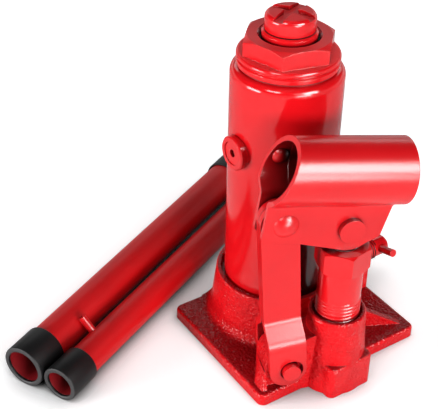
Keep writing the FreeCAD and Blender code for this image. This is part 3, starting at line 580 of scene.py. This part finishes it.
@dataclass
class HandleTube:
    """One tube of the pump handle with its rubber sleeves and any studs."""

    name: str
    mount: str
    body: str
    sleeves: tuple[str, ...]
    studs: tuple[str, ...] = ()
    length: float = 187.5
    sleeve_length: float = 15.0
    sleeve_wall: float = 1.1
    tube_wall: float = 1.0
    lip: float = 1.2
    rim_round: float = 0.5
    cut_depth: float = 0.1
    tolerance: float = 0.01

    def build(self) -> None:
        """Mould the sleeves with a rounded rim, in place of the plain ones."""
        near, along, bore = bore_of(self.mount)
        ends = [(near, along), (near + along * self.length * MM, -along)]
        for sleeve, (end, inward) in zip(self.sleeves, ends):
            mesh = self.sleeve(bore)
            place_on(mesh, end, inward)
            piece = add_piece("soft_" + sleeve, mesh, self.body, SLEEVE_RUBBER, (sleeve,))
            piece.data.materials.append(CUT_RUBBER.material())

    def sleeve(self, bore: float) -> bmesh.types.BMesh:
        """Spin one sleeve and round its open rim.

        Args:
            bore: inside radius of the tube in millimetres.

        Returns:
            The sleeve, drawn along Z from the tube's cut end.
        """
        tube = bore + self.tube_wall
        outer = tube + self.sleeve_wall
        mesh = turned([(bore, -self.lip), (outer, -self.lip), (outer, self.sleeve_length),
                       (tube, self.sleeve_length), (tube, 0), (bore, 0)])
        rims = [edge for edge in mesh.edges if self.on_rim(edge, outer)]
        bmesh.ops.bevel(mesh, geom=rims, offset=self.rim_round * MM, affect="EDGES", segments=4, profile=0.5,
                        material=-1)
        for face in mesh.faces:
            face.material_index = int(face.calc_center_median().z < (self.cut_depth - self.lip) * MM)
        return mesh

    def on_rim(self, edge: bmesh.types.BMEdge, outer: float) -> bool:
        """Tell whether an edge runs round one of the sleeve's two outer rims.

        Args:
            edge: edge of the sleeve.
            outer: the sleeve's outer radius in millimetres.

        Returns:
            True for an edge of an outer rim.
        """
        heights = [v.co.z / MM for v in edge.verts]
        radii = [math.hypot(v.co.x, v.co.y) / MM for v in edge.verts]
        level = abs(heights[0] - heights[1]) < self.tolerance
        end = min(abs(heights[0] + self.lip), abs(heights[0] - self.sleeve_length)) < self.tolerance
        return level and end and min(radii) > outer - self.tolerance

    def dress(self) -> None:
        """Paint the tube, darker in its bore with partly painted shade, and its studs."""
        near, along, bore = bore_of(self.mount)
        dress(replace(TUBE_ENAMEL, name=self.name + "_enamel", start=tuple(near), along=tuple(along), bore_mm=bore),
              self.name)
        dress(STUD_ENAMEL, *self.studs)


@dataclass
class InnerWorks:
    """Seals, washers and valve pieces inside the jack."""

    rims: tuple[str, ...] = ("casing_gasket", "nut_gasket")
    seals: tuple[str, ...] = ("ram_wiper", "pump_seal", "ram_cup_seal", "release_seal")
    washers: tuple[str, ...] = ("cylinder_washer", "pump_washer")
    plugs: tuple[str, ...] = ("delivery_plug", "overload_screw")
    steel: tuple[str, ...] = ("pressure_cylinder", "suction_ball", "delivery_ball", "delivery_spring",
                              "overload_ball", "overload_spring", "release_ball", "screw_stop_ring",
                              "ram_backup_ring")

    def dress(self) -> None:
        """Give each inner piece its bare material."""
        dress(SPRAYED_SEAL, *self.rims)
        dress(SEAL_RUBBER, *self.seals)
        dress(COPPER, *self.washers)
        dress(SPRAYED_PLUG, *self.plugs)
        dress(GROUND_STEEL, *self.steel)


@dataclass
class SoftBox:
    """A rectangular studio lamp that faces the jack."""

    name: str
    azimuth: float
    elevation: float
    distance: float
    width: float
    height: float
    power: float
    reach: Reach = Reach.ALL
    aim: Vector = field(default_factory=lambda: Vector((0, -20, 80)))

    def build(self) -> None:
        """Hang the lamp at its angle and turn it to the jack."""
        lamp = bpy.data.lights.new(self.name, "AREA")
        lamp.shape = "RECTANGLE"
        lamp.size = self.width * MM
        lamp.size_y = self.height * MM
        lamp.energy = self.power
        holder = bpy.data.objects.new(self.name, lamp)
        bpy.context.scene.collection.objects.link(holder)
        outward = direction(self.azimuth, self.elevation)
        holder.visible_diffuse = self.reach is not Reach.MIRRORED
        holder.visible_glossy = self.reach is not Reach.MATT
        holder.location = self.aim * MM + outward * self.distance * MM
        holder.rotation_euler = outward.to_track_quat("Z", "Y").to_euler()


def direction(azimuth: float, elevation: float) -> Vector:
    """Unit vector towards an azimuth, zero at the front and growing to the right, and an elevation."""
    a, e = math.radians(azimuth), math.radians(elevation)
    return Vector((math.sin(a) * math.cos(e), -math.cos(a) * math.cos(e), math.sin(e)))


@dataclass
class Studio:
    """Pale floor, white surroundings, lamps and the camera."""

    floor_size: float = 6000.0
    floor_colour: str = "#f4f4f5"
    floor_glow: float = 0.58
    far_glow: float = 0.96
    near_reach: float = 200.0
    far_reach: float = 900.0
    painted_shadow_reach: float = 27.0
    painted_shadow_closed: float = 0.15
    painted_shadow_open: float = 0.85
    mirror_glow: float = 0.35
    pool_centre: Vector = field(default_factory=lambda: Vector((-110, -160, 0)))
    pool_inner: float = 120.0
    pool_outer: float = 380.0
    horizon: float = 1.0
    ceiling: float = 0.03
    wall_low: float = 0.06
    wall_high: float = 0.32
    camera_place: Vector = field(default_factory=lambda: Vector((-240.17, -307.72, 334.57)))
    camera_azimuth: float = -34.06
    camera_elevation: float = 34.94
    camera_roll: float = 1.23
    lens: float = 86.66
    sensor: float = 36.0
    lamps: tuple[SoftBox, ...] = (
        SoftBox("right_panel", -4.0, 7.0, 1300.0, 620.0, 360.0, 12.5),
        SoftBox("left_panel", -102.0, 7.0, 1300.0, 620.0, 360.0, 15.5),
        SoftBox("key", -6.0, 36.0, 1300.0, 620.0, 420.0, 2.5),
        SoftBox("top_fill", -34.0, 78.0, 1300.0, 620.0, 420.0, 3.0, reach=Reach.MATT),
        SoftBox("rear_fill", 100.0, 18.0, 1300.0, 620.0, 420.0, 4.0, reach=Reach.MATT),
        SoftBox("right_box", 12.0, 31.0, 1200.0, 540.0, 540.0, 22.0, reach=Reach.MIRRORED),
        SoftBox("left_box", -68.0, 47.0, 1200.0, 400.0, 260.0, 7.0, reach=Reach.MIRRORED),
        SoftBox("back_wall", 146.0, 30.0, 1500.0, 1700.0, 420.0, 4.5, reach=Reach.MIRRORED),
    )

    def build(self) -> None:
        """Set up the floor, surroundings, lamps and camera."""
        self.build_floor()
        self.build_world()
        for lamp in self.lamps:
            lamp.build()
        self.build_camera()
        bpy.context.scene.view_settings.view_transform = "Standard"

    def seen(self, tree: bpy.types.NodeTree) -> bpy.types.NodeSocket:
        """Tell apart what is seen directly, in a mirror or through glass from what only gives light.

        Args:
            tree: node tree that gets the nodes.

        Returns:
            A socket that is 1 where something is seen.
        """
        path = add(tree, "ShaderNodeLightPath").outputs
        mirror = add(tree, "ShaderNodeMath", {0: path["Is Camera Ray"], 1: path["Is Glossy Ray"]}, operation="MAXIMUM")
        return add(tree, "ShaderNodeMath", {0: mirror.outputs[0], 1: path["Is Transmission Ray"]},
                   operation="MAXIMUM").outputs[0]

    def paper(self) -> bpy.types.Material:
        """Make the floor's paper: it takes the lamps' shadow and a painted contact shadow close to the pieces, and
        glows enough to come out white around it.

        Returns:
            The new material.
        """
        material = bpy.data.materials.new("white_paper_sweep")
        material.use_nodes = True
        tree = material.node_tree
        tree.nodes.clear()
        # Painted contact shadow: the paper's colour and glow darken where pieces stand close.
        nearby = add(tree, "ShaderNodeAmbientOcclusion", {"Distance": self.painted_shadow_reach * MM},
                     samples=SHADE_SAMPLES)
        shade = add(tree, "ShaderNodeMapRange", {"Value": nearby.outputs["AO"], "From Min": self.painted_shadow_closed,
                                                 "From Max": self.painted_shadow_open}).outputs[0]
        shadowed_paper_colour = add(tree, "ShaderNodeVectorMath", {0: linear(self.floor_colour)[:3], "Scale": shade},
                   operation="SCALE")
        paper = add(tree, "ShaderNodeBsdfDiffuse", {"Color": shadowed_paper_colour.outputs[0]})
        place = add(tree, "ShaderNodeTexCoord").outputs["Object"]
        apart = add(tree, "ShaderNodeVectorMath", {0: place, 1: self.pool_centre * MM}, operation="DISTANCE")
        pool = add(tree, "ShaderNodeMapRange", {"Value": apart.outputs["Value"], "From Min": self.pool_inner * MM,
                                                "From Max": self.pool_outer * MM, "To Min": self.mirror_glow,
                                                "To Max": 0.0}, interpolation_type="SMOOTHSTEP")
        mirrored = add(tree, "ShaderNodeMath", {0: self.seen(tree), 1: pool.outputs[0]}, operation="MULTIPLY")
        level = add(tree, "ShaderNodeMapRange", {"Value": apart.outputs["Value"], "From Min": self.near_reach * MM,
                                                 "From Max": self.far_reach * MM, "To Min": self.floor_glow,
                                                 "To Max": self.far_glow})
        straight = add(tree, "ShaderNodeLightPath").outputs["Is Camera Ray"]
        direct = add(tree, "ShaderNodeMath", {0: straight, 1: level.outputs[0]}, operation="MULTIPLY")
        share = add(tree, "ShaderNodeMath", {0: direct.outputs[0], 1: mirrored.outputs[0]}, operation="MAXIMUM")
        lit = add(tree, "ShaderNodeMath", {0: share.outputs[0], 1: shade}, operation="MULTIPLY")
        glow = add(tree, "ShaderNodeEmission", {"Color": linear("#ffffff"), "Strength": lit.outputs[0]})
        both = add(tree, "ShaderNodeAddShader", {0: paper.outputs[0], 1: glow.outputs[0]})
        add(tree, "ShaderNodeOutputMaterial", {"Surface": both.outputs[0]})
        return material

    def build_floor(self) -> None:
        """Lay the paper floor."""
        mesh = bmesh.new()
        bmesh.ops.create_grid(mesh, x_segments=1, y_segments=1, size=self.floor_size * MM / 2)
        data = bpy.data.meshes.new("floor")
        mesh.to_mesh(data)
        mesh.free()
        data.materials.append(self.paper())
        floor = bpy.data.objects.new("floor", data)
        bpy.context.scene.collection.objects.link(floor)

    def build_world(self) -> None:
        """Surround the jack with a white horizon under a dim ceiling; only what is seen is white."""
        world = bpy.data.worlds.new("studio")
        world.use_nodes = True
        tree = world.node_tree
        tree.nodes.clear()
        place = add(tree, "ShaderNodeTexCoord").outputs["Generated"]
        height = add(tree, "ShaderNodeSeparateXYZ", {0: place}).outputs["Z"]
        wall = add(tree, "ShaderNodeMapRange", {"Value": height, "From Min": self.wall_low, "From Max": self.wall_high,
                                                "To Min": self.horizon, "To Max": self.ceiling},
                   interpolation_type="SMOOTHSTEP")
        mirrored = add(tree, "ShaderNodeMix", {0: self.seen(tree), 2: self.ceiling, 3: wall.outputs[0]},
                       data_type="FLOAT")
        straight = add(tree, "ShaderNodeLightPath").outputs["Is Camera Ray"]
        level = add(tree, "ShaderNodeMath", {0: mirrored.outputs[0], 1: straight}, operation="MAXIMUM")
        sky = add(tree, "ShaderNodeBackground", {"Color": linear("#ffffff"), "Strength": level.outputs[0]})
        add(tree, "ShaderNodeOutputWorld", {"Surface": sky.outputs[0]})
        bpy.context.scene.world = world

    def build_camera(self) -> None:
        """Set the camera where the photograph was taken."""
        back = direction(self.camera_azimuth, self.camera_elevation)
        right = direction(self.camera_azimuth + 90, 0)
        turn = Matrix.Rotation(math.radians(self.camera_roll), 3, back)
        across = turn @ right
        up = turn @ back.cross(right)
        data = bpy.data.cameras.new("camera")
        data.lens = self.lens
        data.sensor_width = self.sensor
        data.clip_start = 0.01
        camera = bpy.data.objects.new("camera", data)
        axes = Matrix((across, up, back)).transposed().to_4x4()
        camera.matrix_world = Matrix.Translation(self.camera_place * MM) @ axes
        bpy.context.scene.collection.objects.link(camera)
        bpy.context.scene.camera = camera


def main() -> None:
    """Dress the jack, add its scene pieces and set up the studio."""
    logging.basicConfig(level=logging.INFO, format="%(message)s")
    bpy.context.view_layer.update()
    Casting().dress()
    reservoir = Reservoir()
    reservoir.build()
    reservoir.dress()
    pump = Pump()
    pump.build()
    pump.dress()
    PumpLever().dress()
    valve = ReleaseValve()
    valve.build()
    valve.dress()
    large = HandleTube("large_handle_tube", "large_tube_bore", "large_handle",
                       ("large_near_sleeve", "large_far_sleeve"))
    small = HandleTube("small_handle_tube", "small_tube_bore", "small_handle", ("small_near_sleeve",),
                       ("handle_stud",))
    for tube in (large, small):
        tube.build()
        tube.dress()
    InnerWorks().dress()
    Studio().build()


if __name__ == "__main__":
    main()
